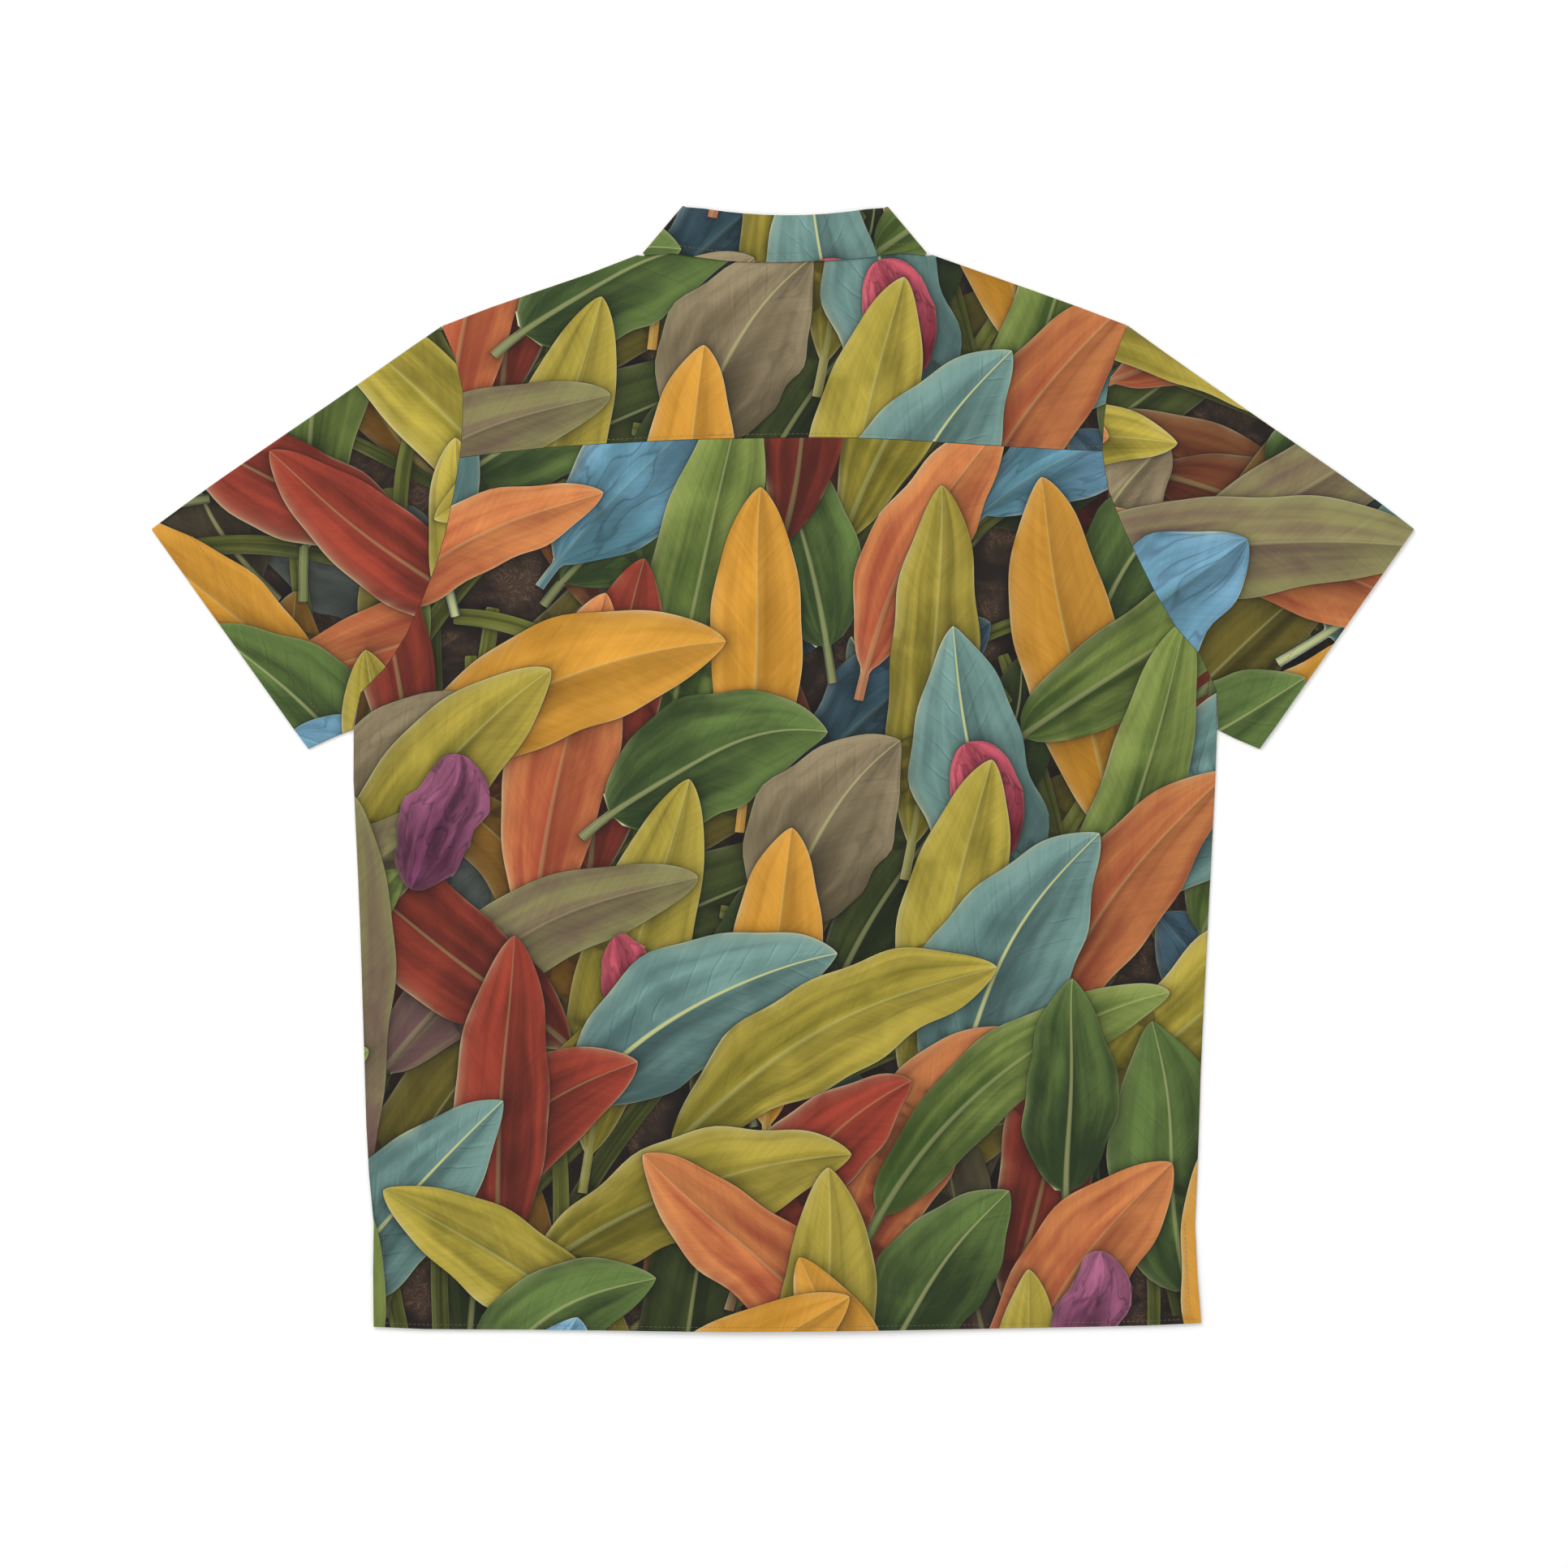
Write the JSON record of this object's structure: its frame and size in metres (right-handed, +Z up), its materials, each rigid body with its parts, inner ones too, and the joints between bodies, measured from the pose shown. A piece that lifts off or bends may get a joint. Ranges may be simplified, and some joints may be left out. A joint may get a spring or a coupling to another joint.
{
  "type": "hawaiian shirt",
  "caption": "Short-sleeved shirt with an open collar and a back yoke, laid flat face down; cloth walls for each sewn piece, with an all-over leaf print.",
  "frame": {"origin": "middle of the shirt's outline in plan, at the surface that it lies on", "axes": "+X across the shirt towards the wearer's right sleeve, +Y from the hem towards the collar, +Z up out of the back"},
  "size_m": [0.864, 0.7702, 0.0073],
  "materials": {
    "body_cloth": "soft woven cloth with a printed leaf pattern",
    "yoke_cloth": "soft woven cloth with a printed leaf pattern",
    "collar_cloth": "soft woven cloth with a printed leaf pattern",
    "front_cloth": "soft woven cloth with a printed leaf pattern",
    "facing_cloth": "soft woven cloth with a printed leaf pattern",
    "sleeve_cloth": "soft woven cloth with a printed leaf pattern",
    "button": "polished dark brown"
  },
  "bodies": {
    "root": {"back": "body_cloth", "yoke": "yoke_cloth", "collar": "collar_cloth", "front_left": "front_cloth", "front_right": "front_cloth", "facing_left": "facing_cloth", "facing_right": "facing_cloth", "sleeve_left": "sleeve_cloth", "sleeve_right": "sleeve_cloth", "button_1": "button", "button_2": "button", "button_3": "button", "button_4": "button", "button_5": "button", "button_6": "button"}
  },
  "joints": []
}
